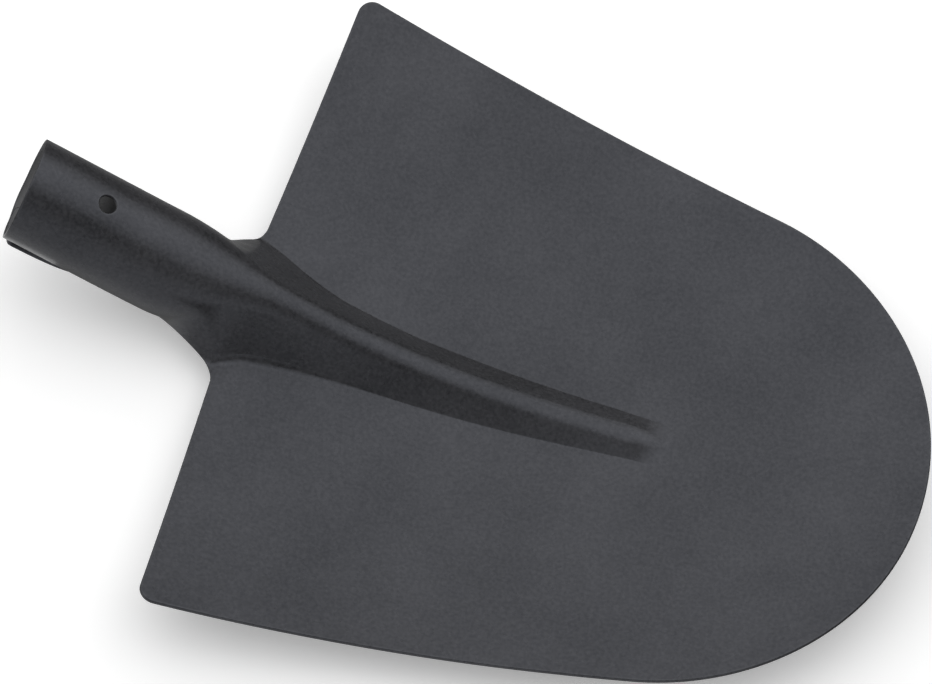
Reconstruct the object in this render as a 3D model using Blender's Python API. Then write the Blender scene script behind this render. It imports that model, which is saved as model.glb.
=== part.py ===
"""Pointed shovel head, without its handle.

One steel sheet makes the dished blade, the raised rib and the rolled socket. The sheet is cut as a
flat blank, pressed, and its tail is rolled into a tube whose edges lap at the back, where two rivets
close it. The part lies on its belly: +X points to the nose, +Z out of the blade's face.

The sheet is described on its blank. s is the place along the crest, as the crest's X, and t is the
distance across the sheet from the crest, positive towards +Y. formed_point() bends the blank.
"""

import math

import bmesh
import bpy
from mathutils import Matrix, Vector
from mathutils.geometry import delaunay_2d_cdt

# Sheet
SHEET = 0.0015

# Blade outline, with X measured from the middle of the back edge
BLADE_WIDTH = 0.2696
BLADE_LENGTH = 0.2682
SHOULDER_SWEEP = math.radians(2.73)
SHOULDER_RADIUS = 0.0060
SIDE_LEAN = math.radians(9.02)
SIDE_BOW_RADIUS = 2.95
NOSE_START = 0.1860
NOSE_SIDE_PULL = 0.0444
NOSE_TIP_PULL = 0.0521

# Dish of the blade
BELLY_X = 0.0960
BELLY_RADIUS_ALONG = 0.6313
BELLY_RADIUS_ACROSS = 0.4523
DIP_DEPTH = 0.0020
DIP_X = 0.1000
DIP_REACH = 0.0600
DIP_HALF = 0.1200

# Socket
SOCKET_BORE = 0.0370
SOCKET_LIFT = math.radians(21.3)
MOUTH_BACK = 0.0844
MOUTH_HEIGHT = 0.0459
MOUTH_LEAN = math.radians(7.7)
MOUTH_SETBACK = 0.0030
MOUTH_SETBACK_POWER = 6

# Rib
RIB_BEND = 0.0320
RIB_LEVEL = 0.1500
RIB_END = 0.1690
RIB_FADE = 0.0125
RIB_END_HEIGHT = 0.0036
RIB_END_HALF = 0.0100
RIB_FOOT_LEAN = 0.055
RIB_FLARE = 0.0076
RIB_FLARE_LENGTH = 0.0750
ROOT_FLARE_OUTER = 0.0062
ROOT_FLARE_OUTER_LENGTH = 0.0380
ROOT_FLARE_INNER = 0.0035
ROOT_FLARE_INNER_LENGTH = 0.0120
RIB_CROWN_RADIUS = 0.0075
RIB_FOOT_RADIUS = 0.0020
NECK_FOOT_RADIUS = 0.0060
CROWN_BLEND = 0.0250
FOOT_BLEND = 0.0650
FOOT_BLEND_END = 0.0850

# Neck, where the rib's flanks roll on into the tube
RIB_START = -0.0066
NECK_START = 0.0150
NECK_ROLLED = -0.0440
NECK_EASE = 2.44
FULL_WRAP = math.radians(244.0)
ROOT_HALF = 0.0300
ROOT_RADIUS = 0.0040
WAIST_S = -0.0120
WAIST_T = 0.0360
WAIST_ROUND = 0.64

MOUTH_CORNER = 0.0020

# Lap of the socket, as angles from the crest to each cut edge
LAP_START = -0.0300
LAP_GAP = 0.0003
OUTER_EDGE_MOUTH = math.radians(234.0)
OUTER_EDGE_NECK = math.radians(188.0)
INNER_EDGE_MOUTH = math.radians(185.0)
INNER_EDGE_NECK = math.radians(160.0)
LAP_EDGE_POWER = 2.5
LAP_RAMP_FROM = math.radians(138.0)
LAP_RAMP_TO = math.radians(168.0)
LAP_FADE = 0.0120

# Fixing hole in the front of the socket
FIXING_HOLE = 0.0070
FIXING_FROM_MOUTH = 0.0271

# Rivets through the lap
RIVET_SHANK = 0.0040
RIVET_HEAD = 0.0075
RIVET_DOME = 0.0016
RIVET_FLAT = 0.0009
RIVET_ANGLE = math.radians(158.0)
RIVET_STATIONS = {"socket_rivet_mouth": 0.0100, "socket_rivet_neck": 0.0300}
RIVET_CLEARANCE = 0.0004
FIT_GAP = 0.0003

# Facets
TUBE_STEP = math.radians(10.0)
BEND_STEP = math.radians(13.0)
LEG_STEP = 0.0050
RIB_ROW = 0.0070
FADE_ROW = 0.0025
PLACE_GAP = 0.0004
NECK_ROW = 0.0030
WING_STEP = 0.0140
EDGE_STEP = 0.0070
HOLE_SIDES = 20
RIVET_SIDES = 20
DOME_STEPS = 4
CORNER_STEPS = 6
NOSE_STEPS = 24
SIDE_STEP = 0.0150
TUBE_ROW = 0.0080
RIB_CLEAR = 0.0010
WING_CLEAR = 0.0050
SHARP_ANGLE = math.radians(40.0)
TOUCH = 0.00001

# Colours
PAINT_COLOUR = (0.065, 0.069, 0.076, 1.0)
RIVET_COLOUR = (0.060, 0.063, 0.068, 1.0)

# Derived sizes
TUBE_RADIUS = (SOCKET_BORE + SHEET) / 2
LAP_RADIUS = TUBE_RADIUS + SHEET + LAP_GAP
HALF_WIDTH = BLADE_WIDTH / 2
MOUTH_S = -MOUTH_BACK + TUBE_RADIUS * math.sin(SOCKET_LIFT)


def smooth(value):
    """Ease from 0 to 1 with level ends."""
    value = min(max(value, 0.0), 1.0)
    return value * value * (3.0 - 2.0 * value)


def mix(first, second, share):
    return first + (second - first) * share


def dip(x):
    """How far the middle of the dish is drawn below an even bowl, where the rib is pressed."""
    return DIP_DEPTH * max(1.0 - ((x - DIP_X) / DIP_REACH) ** 2, 0.0) ** 2


def blade_height(x, y):
    """Middle of the dished sheet, away from the rib."""
    along = (x - BELLY_X) ** 2 / (2 * BELLY_RADIUS_ALONG)
    across = y ** 2 / (2 * BELLY_RADIUS_ACROSS)
    return SHEET / 2 + along + across - dip(x) * (1.0 - (y / DIP_HALF) ** 2)


def socket_crest(s):
    """Straight front line of the socket, in the middle of the sheet."""
    axis = MOUTH_HEIGHT - math.tan(SOCKET_LIFT) * (s + MOUTH_BACK)
    return axis + TUBE_RADIUS / math.cos(SOCKET_LIFT)


def rib_height(s):
    """Height of the crest above the blade: the socket's line first, then an easing curve."""
    if s <= RIB_BEND:
        return socket_crest(s) - blade_height(s, 0.0)
    rise = socket_crest(RIB_BEND) - blade_height(RIB_BEND, 0.0) - RIB_END_HEIGHT
    slope = math.tan(SOCKET_LIFT) + (RIB_BEND - BELLY_X) / BELLY_RADIUS_ALONG
    power = slope * (RIB_LEVEL - RIB_BEND) / rise
    left = max(RIB_LEVEL - s, 0.0) / (RIB_LEVEL - RIB_BEND)
    fade = smooth((RIB_END - s) / RIB_FADE)
    return (RIB_END_HEIGHT + rise * left ** power) * fade + dip(s)


def rib_half(s, side):
    """Half width of the rib at its foot, wider at the root on the side whose edge laps outside."""
    flare = RIB_FLARE * max(1.0 - s / RIB_FLARE_LENGTH, 0.0) ** 2
    root = ROOT_FLARE_OUTER if side > 0 else ROOT_FLARE_INNER
    length = ROOT_FLARE_OUTER_LENGTH if side > 0 else ROOT_FLARE_INNER_LENGTH
    root *= min(max(1.0 - s / length, 0.0), 1.0) ** 2
    return RIB_END_HALF + RIB_FOOT_LEAN * (RIB_LEVEL - s) + flare + root


def crown_radius(s):
    share = smooth((CROWN_BLEND - s) / (2 * CROWN_BLEND))
    return mix(RIB_CROWN_RADIUS, TUBE_RADIUS, share)


def foot_radius(s):
    share = smooth((FOOT_BLEND_END - s) / FOOT_BLEND)
    return mix(RIB_FOOT_RADIUS, NECK_FOOT_RADIUS, share)


def flank(s, side):
    """Angle and straight length of the rib's flank, tangent to the crown and to the foot."""
    height = rib_height(s)
    half = rib_half(s, side)
    both = crown_radius(s) + foot_radius(s)
    leg = math.sqrt(max(half ** 2 + height ** 2 - 2 * height * both, 0.0))
    angle = math.atan2(height - both, half) + math.atan2(both, leg)
    return angle, leg


def section(s, side):
    """Crown radius, angle turned by the crown, and leg length at a station."""
    angle, leg = flank(max(s, RIB_START), side)
    share = smooth((NECK_START - s) / (NECK_START - NECK_ROLLED)) ** NECK_EASE
    return crown_radius(s), mix(angle, FULL_WRAP, share), leg


def developed_half(s, side):
    """Distance on the blank from the crest to the foot of the rib."""
    crown, angle, leg = section(s, side)
    return (crown + foot_radius(s)) * angle + leg


def lap_lift(s, turn):
    """How far the outer edge stands off the inner one where they lap."""
    ramp = smooth((turn - LAP_RAMP_FROM) / (LAP_RAMP_TO - LAP_RAMP_FROM))
    return (LAP_RADIUS - TUBE_RADIUS) * ramp * smooth((LAP_START + LAP_FADE - s) / LAP_FADE)


def section_point(s, t):
    """Y and depth below the crest of a blank point: crown, leg, foot, then the flat wing."""
    side = 1.0 if t >= 0 else -1.0
    reach = abs(t)
    crown, angle, leg = section(s, side)
    arc = crown * angle
    if reach <= arc:
        turn = reach / crown
        radius = crown + (lap_lift(s, turn) if side > 0 else 0.0)
        return side * radius * math.sin(turn), crown - radius * math.cos(turn)
    along = min(reach - arc, leg)
    y = crown * math.sin(angle) + along * math.cos(angle)
    depth = crown * (1.0 - math.cos(angle)) + along * math.sin(angle)
    if reach > arc + leg:
        foot = foot_radius(s)
        turn = min((reach - arc - leg) / foot, angle)
        y += foot * (math.sin(angle) - math.sin(angle - turn))
        depth += foot * (math.cos(angle - turn) - math.cos(angle))
        y += max(reach - arc - leg - foot * angle, 0.0)
    return side * y, depth


def formed_point(s, t):
    """Place of a blank point in the middle of the formed sheet."""
    y, depth = section_point(s, t)
    crest = socket_crest(s) if s <= RIB_BEND else blade_height(s, 0.0) + rib_height(s)
    tilt = SOCKET_LIFT * smooth(s / NECK_ROLLED)
    dish = (blade_height(s, y) - blade_height(s, 0.0)) * smooth(1.0 + s / CROWN_BLEND)
    return Vector((s - depth * math.sin(tilt), y, crest - depth * math.cos(tilt) + dish))


def rounded(corners, steps):
    """Polyline through (point, radius) corners, with each radius drawn as an arc."""
    line = []
    for number, (point, radius) in enumerate(corners):
        if radius == 0.0:
            line.append(point)
            continue
        back = (corners[number - 1][0] - point).normalized()
        ahead = (corners[number + 1][0] - point).normalized()
        half = back.angle(ahead) / 2
        middle = point + (back + ahead).normalized() * (radius / math.sin(half))
        start = point + back * (radius / math.tan(half)) - middle
        end = point + ahead * (radius / math.tan(half)) - middle
        sweep = math.atan2(start.cross(end), start.dot(end))
        for step in range(steps + 1):
            turn = Matrix.Rotation(sweep * step / steps, 2)
            line.append(middle + turn @ start)
    return line


def side_half(x):
    """Half width of the blade along its slightly bowed side."""
    past = x - HALF_WIDTH * math.tan(SHOULDER_SWEEP)
    return HALF_WIDTH - math.tan(SIDE_LEAN) * past - past ** 2 / (2 * SIDE_BOW_RADIUS)


def blade_edge():
    """Half of the blade's outline in plan, from the root of the back edge to the tip."""
    sweep = math.tan(SHOULDER_SWEEP)
    corner = Vector((HALF_WIDTH * sweep, HALF_WIDTH))
    along_side = Vector((NOSE_START, side_half(NOSE_START)))
    lead = Vector((corner.x + SIDE_STEP, side_half(corner.x + SIDE_STEP)))
    root = Vector((ROOT_HALF * sweep, ROOT_HALF))
    line = rounded([(root, 0.0), (corner, SHOULDER_RADIUS), (lead, 0.0)], CORNER_STEPS)
    count = round((NOSE_START - lead.x) / SIDE_STEP)
    for step in range(1, count + 1):
        x = mix(lead.x, NOSE_START, step / count)
        line.append(Vector((x, side_half(x))))
    slope = math.tan(SIDE_LEAN) + (NOSE_START - corner.x) / SIDE_BOW_RADIUS
    first_pull = along_side + Vector((1.0, -slope)).normalized() * NOSE_SIDE_PULL
    tip = Vector((BLADE_LENGTH, 0.0))
    last_pull = tip + Vector((0.0, NOSE_TIP_PULL))
    for step in range(1, NOSE_STEPS + 1):
        u = step / NOSE_STEPS
        v = 1.0 - u
        line.append(v ** 3 * along_side + 3 * v ** 2 * u * first_pull + 3 * v * u ** 2 * last_pull + u ** 3 * tip)
    return line


def on_blank(plan, side):
    """Blank place of a point given in plan, outside the rib."""
    return Vector((plan.x, plan.y - rib_half(plan.x, side) + developed_half(plan.x, side)))


def lap_edge(s, side):
    """Cut edge of the rolled tail as a distance on the blank."""
    mouth = OUTER_EDGE_MOUTH if side > 0 else INNER_EDGE_MOUTH
    neck = OUTER_EDGE_NECK if side > 0 else INNER_EDGE_NECK
    share = (s - MOUTH_S) / (LAP_START - MOUTH_S)
    return TUBE_RADIUS * mix(mouth, neck, share ** LAP_EDGE_POWER)


def mouth_s(turn):
    """Station of the mouth's edge: farther out at the front, and set back where the rolled ends lap."""
    lean = TUBE_RADIUS * math.tan(MOUTH_LEAN) * math.cos(SOCKET_LIFT) * math.cos(turn)
    return MOUTH_S - lean + MOUTH_SETBACK * (turn / OUTER_EDGE_MOUTH) ** MOUTH_SETBACK_POWER


def waist_radius(tail, waist, root):
    """Round of the waist, which takes up a fixed share of the run to the root."""
    half = (tail - waist).angle(root - waist) / 2
    return WAIST_ROUND * (root - waist).length * math.tan(half)


def half_blank(side):
    """Blank outline on one side, from the middle of the mouth to the tip."""
    line = []
    reach = lap_edge(MOUTH_S, side)
    count = math.ceil(reach / TUBE_RADIUS / TUBE_STEP)
    for step in range(count):
        line.append(Vector((mouth_s(reach * step / count / TUBE_RADIUS), reach * step / count)))
    line.append(Vector((mouth_s(reach / TUBE_RADIUS) + MOUTH_CORNER, reach)))
    rows = round((LAP_START - MOUTH_S) / EDGE_STEP)
    for row in range(1, rows):
        s = mix(MOUTH_S, LAP_START, row / rows)
        line.append(Vector((s, lap_edge(s, side))))
    plan = blade_edge()
    tail = Vector((LAP_START, lap_edge(LAP_START, side)))
    waist = Vector((WAIST_S, WAIST_T))
    root = on_blank(plan[0], side)
    neck = [
        (tail, 0.0),
        (waist, waist_radius(tail, waist, root)),
        (root, ROOT_RADIUS),
        (on_blank(plan[1], side), 0.0),
    ]
    line += rounded(neck, CORNER_STEPS)[:-1]
    line += [on_blank(point, side) for point in plan[1:]]
    return [Vector((point.x, side * point.y)) for point in line]


def split_long(line, longest):
    """Closed outline with its long straight runs cut into shorter ones."""
    parts = []
    for number, point in enumerate(line):
        after = line[(number + 1) % len(line)]
        count = max(1, round((after - point).length / longest))
        parts += [point.lerp(after, step / count) for step in range(count)]
    return parts


def blank_outline():
    left = half_blank(1.0)
    right = half_blank(-1.0)
    return split_long(left + right[-2:0:-1], EDGE_STEP)


def ring(s, t, radius, stretch):
    """Hole on the blank; stretch allows for a layer rolled to a larger radius."""
    points = []
    for step in range(HOLE_SIDES):
        turn = 2 * math.pi * step / HOLE_SIDES
        along = radius * math.cos(SOCKET_LIFT) * math.cos(turn)
        points.append(Vector((s + along, t + radius / stretch * math.sin(turn))))
    return points


def hole_rings():
    radius = RIVET_SHANK / 2 + RIVET_CLEARANCE
    rings = [ring(station(FIXING_FROM_MOUTH), 0.0, FIXING_HOLE / 2, 1.0)]
    for from_mouth in RIVET_STATIONS.values():
        s = station(from_mouth)
        rings.append(ring(s, -TUBE_RADIUS * RIVET_ANGLE, radius, 1.0))
        around = 2 * math.pi - RIVET_ANGLE
        rings.append(ring(s, TUBE_RADIUS * around, radius, LAP_RADIUS / TUBE_RADIUS))
    return rings


def station(from_mouth):
    """Crest station of a place measured along the socket from the mouth."""
    return MOUTH_S + from_mouth * math.cos(SOCKET_LIFT)


def spread(first, last, step):
    """Even places from first to last, about a step apart, both ends included."""
    count = max(1, math.ceil(abs(last - first) / step))
    return [mix(first, last, number / count) for number in range(count + 1)]


def row_places(s, side):
    """Distances across one side of a row, close together on bends and wide on the flat."""
    crown, angle, leg = section(s, side)
    bend = TUBE_STEP if s < RIB_START else BEND_STEP
    arc = crown * angle
    places = spread(0.0, arc, crown * bend)
    places += spread(arc, arc + leg, LEG_STEP)[1:]
    foot = foot_radius(s)
    places += spread(arc + leg, arc + leg + foot * angle, foot * BEND_STEP)[1:]
    kept = places[:1]
    for place in places[1:]:
        if place - kept[-1] > PLACE_GAP:
            kept.append(place)
    return kept


def inner_places():
    """Points inside the blank with the clearance each wants from a cut edge."""
    rows = spread(MOUTH_S, NECK_ROLLED, TUBE_ROW)[1:]
    rows += spread(NECK_ROLLED, 0.0, NECK_ROW)[1:]
    rows += spread(0.0, RIB_END - RIB_FADE, RIB_ROW)[1:]
    rows += spread(RIB_END - RIB_FADE, RIB_END, FADE_ROW)[1:]
    nose_rows = spread(RIB_END, BLADE_LENGTH, WING_STEP)[1:]
    wing_steps = range(1, math.ceil(HALF_WIDTH / WING_STEP))
    places = [(Vector((s, 0.0)), RIB_CLEAR) for s in rows]
    places += [(Vector((s, 0.0)), WING_CLEAR) for s in nose_rows]
    for side in (1.0, -1.0):
        for number, s in enumerate(rows):
            places += [(Vector((s, side * t)), RIB_CLEAR) for t in row_places(s, side)[1:]]
            if s > 0.0 and number % 2 == 0:
                foot = developed_half(s, side)
                places += [(Vector((s, side * (foot + step * WING_STEP))), WING_CLEAR) for step in wing_steps]
        for s in nose_rows:
            places += [(Vector((s, side * step * WING_STEP)), WING_CLEAR) for step in wing_steps]
    return places


def edge_distance(point, loop):
    """Distance from a point to a closed loop, negative outside it."""
    nearest = math.inf
    inside = False
    for number, first in enumerate(loop):
        second = loop[(number + 1) % len(loop)]
        run = second - first
        share = min(max((point - first).dot(run) / run.length_squared, 0.0), 1.0)
        nearest = min(nearest, (first + run * share - point).length)
        if (first.y > point.y) != (second.y > point.y):
            crossing = first.x + (point.y - first.y) / run.y * run.x
            inside = inside != (point.x < crossing)
    return nearest if inside else -nearest


def blank_triangles():
    """Points and triangles of the flat blank, with its outline and holes kept as edges."""
    outline = blank_outline()
    rings = hole_rings()
    points = []
    edges = []
    for loop in [outline] + rings:
        first = len(points)
        points += loop
        edges += [(first + n, first + (n + 1) % len(loop)) for n in range(len(loop))]
    for point, clear in inner_places():
        if edge_distance(point, outline) < clear:
            continue
        if all(edge_distance(point, loop) < -clear for loop in rings):
            points.append(point)
    points, _, triangles, _, _, _ = delaunay_2d_cdt(points, edges, [], 0, 1e-7)
    kept = []
    for triangle in triangles:
        middle = sum((points[corner] for corner in triangle), Vector((0.0, 0.0))) / 3
        if edge_distance(middle, outline) > TOUCH:
            if all(edge_distance(middle, loop) < -TOUCH for loop in rings):
                kept.append(triangle)
    return points, kept


def make_material(name, colour, metallic, roughness):
    material = bpy.data.materials.new(name)
    material.use_nodes = True
    shader = material.node_tree.nodes["Principled BSDF"]
    shader.inputs["Base Color"].default_value = colour
    shader.inputs["Metallic"].default_value = metallic
    shader.inputs["Roughness"].default_value = roughness
    material.diffuse_color = colour
    return material


def make_object(name, shape):
    """Object from a bmesh."""
    mesh = bpy.data.meshes.new(name)
    shape.to_mesh(mesh)
    shape.free()
    thing = bpy.data.objects.new(name, mesh)
    bpy.context.collection.objects.link(thing)
    return thing


def finish_surface(thing, material):
    """One material, shaded smooth except across sharp edges."""
    thing.data.materials.append(material)
    thing.data.shade_smooth()
    thing.data.set_sharp_from_angle(angle=SHARP_ANGLE)


def make_blade(material):
    """The whole sheet: the formed middle surface, thickened to both sides."""
    points, triangles = blank_triangles()
    shape = bmesh.new()
    corners = [shape.verts.new(formed_point(point.x, point.y)) for point in points]
    for triangle in triangles:
        shape.faces.new([corners[number] for number in triangle])
    loose = [corner for corner in corners if not corner.link_faces]
    bmesh.ops.delete(shape, geom=loose, context="VERTS")
    blade = make_object("blade", shape)
    thicken = blade.modifiers.new("thickness", "SOLIDIFY")
    thicken.thickness = SHEET
    thicken.offset = 0.0
    seen = bpy.context.evaluated_depsgraph_get()
    blade.data = bpy.data.meshes.new_from_object(blade.evaluated_get(seen))
    blade.modifiers.clear()
    finish_surface(blade, material)
    return blade


def rivet_profile():
    """Half section of a rivet about its axis, from the flat inner head to the domed outer one."""
    head = RIVET_HEAD / 2
    shank = RIVET_SHANK / 2
    bore = TUBE_RADIUS - SHEET / 2
    inner_seat = math.sqrt(bore ** 2 - head ** 2) * math.cos(TUBE_STEP / 2) - FIT_GAP
    outer_seat = LAP_RADIUS + SHEET / 2 + FIT_GAP
    profile = [(0.0, inner_seat - RIVET_FLAT), (head - RIVET_FLAT / 2, inner_seat - RIVET_FLAT)]
    profile += [(head, inner_seat - RIVET_FLAT / 2), (head, inner_seat), (shank, inner_seat)]
    profile += [(shank, outer_seat), (head, outer_seat)]
    for step in range(1, DOME_STEPS):
        turn = math.pi / 2 * step / DOME_STEPS
        profile.append((head * math.cos(turn), outer_seat + RIVET_DOME * math.sin(turn)))
    profile.append((0.0, outer_seat + RIVET_DOME))
    return profile


def make_rivet(name, from_mouth, material):
    """Turned rivet, set square through the lap."""
    shape = bmesh.new()
    corners = [shape.verts.new((radius, 0.0, height)) for radius, height in rivet_profile()]
    edges = [shape.edges.new(pair) for pair in zip(corners, corners[1:])]
    bmesh.ops.spin(
        shape, geom=corners + edges, cent=(0.0, 0.0, 0.0), axis=(0.0, 0.0, 1.0),
        angle=2 * math.pi, steps=RIVET_SIDES, use_merge=True,
    )
    bmesh.ops.remove_doubles(shape, verts=shape.verts, dist=TOUCH)
    bmesh.ops.recalc_face_normals(shape, faces=shape.faces)
    rivet = make_object(name, shape)
    finish_surface(rivet, material)
    s = station(from_mouth)
    front = Vector((math.sin(SOCKET_LIFT), 0.0, math.cos(SOCKET_LIFT)))
    crest = Vector((s, 0.0, socket_crest(s)))
    rivet.location = crest - front * TUBE_RADIUS
    rivet.rotation_euler = (RIVET_ANGLE, SOCKET_LIFT, 0.0)
    return rivet


def set_on_ground(things):
    """Hang the pieces on one empty, with the origin under the middle of their box."""
    bpy.context.view_layer.update()
    seen = bpy.context.evaluated_depsgraph_get()
    corners = []
    for thing in things:
        solid = thing.evaluated_get(seen)
        corners += [solid.matrix_world @ vertex.co for vertex in solid.data.vertices]
    lows = [min(corner[axis] for corner in corners) for axis in range(3)]
    highs = [max(corner[axis] for corner in corners) for axis in range(3)]
    ground = bpy.data.objects.new("shovel_head", None)
    bpy.context.collection.objects.link(ground)
    ground.location = (-(lows[0] + highs[0]) / 2, -(lows[1] + highs[1]) / 2, -lows[2])
    for thing in things:
        thing.parent = ground


def main():
    for thing in list(bpy.data.objects):
        bpy.data.objects.remove(thing, do_unlink=True)
    paint = make_material("charcoal_paint", PAINT_COLOUR, 0.0, 0.55)
    coated = make_material("coated_rivet", RIVET_COLOUR, 0.0, 0.5)
    things = [make_blade(paint)]
    for name, from_mouth in RIVET_STATIONS.items():
        things.append(make_rivet(name, from_mouth, coated))
    set_on_ground(things)


main()
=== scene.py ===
"""Looks of the pointed shovel head: one pressed, rolled and powder-coated sheet with two rivets.

The CAD sheet and rivets are replaced by finer ones in the same place. The sheet is described as it
was cut, flat: s is the place along its middle line and t the distance across it. formed() bends it.
"""

import math

import bmesh
import bpy
import numpy as np
from mathutils import Matrix, Vector
from mathutils.geometry import delaunay_2d_cdt

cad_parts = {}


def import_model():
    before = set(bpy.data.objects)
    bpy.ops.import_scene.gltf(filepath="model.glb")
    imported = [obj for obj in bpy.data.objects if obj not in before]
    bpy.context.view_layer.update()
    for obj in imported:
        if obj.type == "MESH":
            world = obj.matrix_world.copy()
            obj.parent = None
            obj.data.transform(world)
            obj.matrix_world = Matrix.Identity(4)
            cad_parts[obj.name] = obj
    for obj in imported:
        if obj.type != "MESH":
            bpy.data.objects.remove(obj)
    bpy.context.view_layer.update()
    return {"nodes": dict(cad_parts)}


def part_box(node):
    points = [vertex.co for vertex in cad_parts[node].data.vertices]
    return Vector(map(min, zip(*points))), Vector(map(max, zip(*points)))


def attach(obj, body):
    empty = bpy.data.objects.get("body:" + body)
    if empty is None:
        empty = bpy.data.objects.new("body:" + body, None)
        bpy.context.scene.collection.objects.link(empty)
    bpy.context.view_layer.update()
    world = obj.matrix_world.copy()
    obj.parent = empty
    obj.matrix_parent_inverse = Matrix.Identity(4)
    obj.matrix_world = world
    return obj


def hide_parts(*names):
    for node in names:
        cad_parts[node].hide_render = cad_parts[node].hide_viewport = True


# Sheet
SHEET = 0.0015
EDGE_ROUND = 0.0004

# Blade outline, with X measured from the middle of the back edge
BLADE_WIDTH = 0.2696
BLADE_LENGTH = 0.2682
SHOULDER_SWEEP = math.radians(2.73)
SHOULDER_RADIUS = 0.0060
SIDE_LEAN = math.radians(9.02)
SIDE_BOW_RADIUS = 2.95
NOSE_START = 0.1860
NOSE_SIDE_PULL = 0.0444
NOSE_TIP_PULL = 0.0521

# Dish of the blade
BELLY_X = 0.0960
BELLY_RADIUS_ALONG = 0.6313
BELLY_RADIUS_ACROSS = 0.4523
BELLY_SPARE = 0.00004
DIP_DEPTH = 0.0020
DIP_X = 0.1000
DIP_REACH = 0.0600
DIP_HALF = 0.1200

# Socket
SOCKET_BORE = 0.0370
SOCKET_LIFT = math.radians(21.3)
MOUTH_BACK = 0.0844
MOUTH_HEIGHT = 0.0459
MOUTH_LEAN = math.radians(7.7)
MOUTH_SETBACK = 0.0030
MOUTH_SETBACK_POWER = 6
MOUTH_CORNER = 0.0020

# Rib
RIB_BEND = 0.0320
RIB_LEVEL = 0.1500
RIB_END = 0.1765
RIB_FADE = 0.0200
RIB_END_HEIGHT = 0.0044
RIB_END_HALF = 0.0100
RIB_FOOT_LEAN = 0.055
RIB_FLARE = 0.0076
RIB_FLARE_LENGTH = 0.0750
RIB_FLARE_POWER = 2
ROOT_FLARE_OUTER = 0.0062
ROOT_FLARE_OUTER_LENGTH = 0.0400
ROOT_FLARE_OUTER_POWER = 1.5
ROOT_FLARE_INNER = 0.0035
ROOT_FLARE_INNER_LENGTH = 0.0120
ROOT_FLARE_INNER_POWER = 2
END_SPREAD = 0.0005
END_SPREAD_START = 0.0600
END_SPREAD_LENGTH = 0.0400
RIB_CROWN_RADIUS = 0.0075
CROWN_BLEND = 0.0250

# Round at the rib's foot: from the neck's to the rib's, sooner on the side whose edge laps outside
NECK_FOOT_RADIUS = 0.0060
RIB_FOOT_RADIUS = 0.0020
INNER_BLEND = 0.0560
INNER_BLEND_END = 0.0720
OUTER_BLEND = 0.0180
OUTER_BLEND_END = 0.0140

# Neck, where the rib's flanks roll on into the tube
RIB_START = -0.0066
NECK_START = 0.0150
NECK_ROLLED = -0.0440
NECK_EASE = 2.44
FULL_WRAP = math.radians(244.0)
ROOT_HALF = 0.0300
ROOT_RADIUS = 0.0075
WAIST_S = -0.0120
WAIST_T = 0.0360
WAIST_ROUND = 0.64

# Lap of the socket, as angles from the middle line to each cut edge
LAP_START = -0.0300
LAP_GAP = 0.0003
OUTER_EDGE_MOUTH = math.radians(234.0)
OUTER_EDGE_NECK = math.radians(188.0)
INNER_EDGE_MOUTH = math.radians(185.0)
INNER_EDGE_NECK = math.radians(160.0)
LAP_EDGE_POWER = 2.5
LAP_RAMP_FROM = math.radians(138.0)
LAP_RAMP_TO = math.radians(168.0)
LAP_FADE = 0.0120

# Fixing hole in the front of the socket
FIXING_HOLE = 0.0070
FIXING_FROM_MOUTH = 0.0271

# Rivets through the lap
RIVET_SHANK = 0.0040
RIVET_HEAD = 0.0075
RIVET_DOME = 0.0016
RIVET_FLAT = 0.0009
RIVET_ANGLE = math.radians(158.0)
RIVET_CLEARANCE = 0.0004
RIVET_SEAT = 0.0003
RIVET_RIM = 0.0004
RIVET_CREASE = math.radians(50.0)
RIVET_STATIONS = {"socket_rivet_mouth": 0.0100, "socket_rivet_neck": 0.0300}

# Fineness of the sheet
TUBE_STEP = math.radians(5.0)
TUBE_ROW = 0.0025
NECK_ROW = 0.0014
RIB_ROW = 0.0022
FADE_ROW = 0.0010
BEND_STEP = 0.0010
FOOT_STEP = math.radians(7.0)
LEG_STEP = 0.0020
WING_STEP = 0.0050
EDGE_STEP = 0.0022
SIDE_STEP = 0.0040
SIDE_LEAD = 0.0150
NOSE_STEPS = 72
CORNER_STEPS = 10
HOLE_SIDES = 48
ROUND_STEPS = 4
DOME_STEPS = 12
RIB_CLEAR = 0.0009
WING_CLEAR = 0.0022

# Reckoning
TOUCH = 0.00001
NUDGE = 0.00002
MERGE = 1e-9
PLACE_DIGITS = 7
BATCH = 2000
LEVEL_GRID = (400, 200)

# Camera, as solved from the photographed outline, with its aim measured from the blade's back edge
CAMERA_AIM = Vector((0.087187, 0.013582, 0.011235))
CAMERA_PITCH = math.radians(3.0212)
CAMERA_YAW = math.radians(27.1125)
CAMERA_ROLL = math.radians(17.9820)
CAMERA_DISTANCE = 1.84815
CAMERA_LENS = 189.574
CAMERA_SENSOR = 36.0
CAMERA_NEAR = 0.05
CAMERA_FAR = 50.0

# Studio
KEY_TILT = math.radians(25.6)
KEY_TURN = math.radians(-8.8)
KEY_DISTANCE = 1.5
KEY_WIDE = 3.75
KEY_DEEP = 3.35
KEY_RADIANCE = 0.74
CORE_SHARE = 0.5
CORE_NEARNESS = 0.95
CORE_RADIANCE = 0.44

# White card under the socket's mouth, measured from the middle of the head's box
CARD_PLACE = Vector((-0.182, -0.012, 0.005))
CARD_LONG = 0.044
CARD_WIDE = 0.034
CARD_RADIANCE = 0.62

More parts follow.
